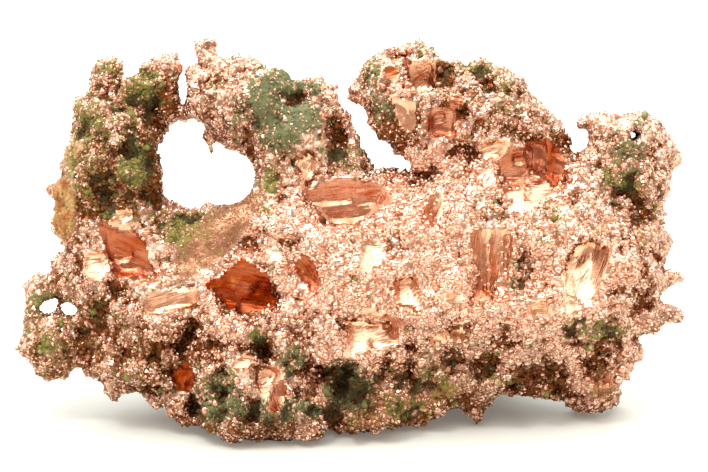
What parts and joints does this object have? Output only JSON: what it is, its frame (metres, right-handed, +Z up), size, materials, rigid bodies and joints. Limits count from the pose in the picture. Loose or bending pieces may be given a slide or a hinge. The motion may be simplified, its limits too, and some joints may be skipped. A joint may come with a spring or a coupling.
{
  "type": "native copper nugget",
  "caption": "Ragged, branching plate of native copper with a natural hole, crystal-grained skin and green patina, standing on worn feet.",
  "frame": {"origin": "under the middle of the nugget, at the height that it rests on", "axes": "+Z up; +X across the broad plate, to the right of someone facing its good side; +Y towards the back"},
  "size_m": [0.0832, 0.0288, 0.0463],
  "materials": {
    "native_copper": "grainy crystalline native copper with bright facets, green patina in the hollows and brown tarnish"
  },
  "bodies": {
    "root": {"copper_nugget": "native_copper"}
  },
  "joints": []
}
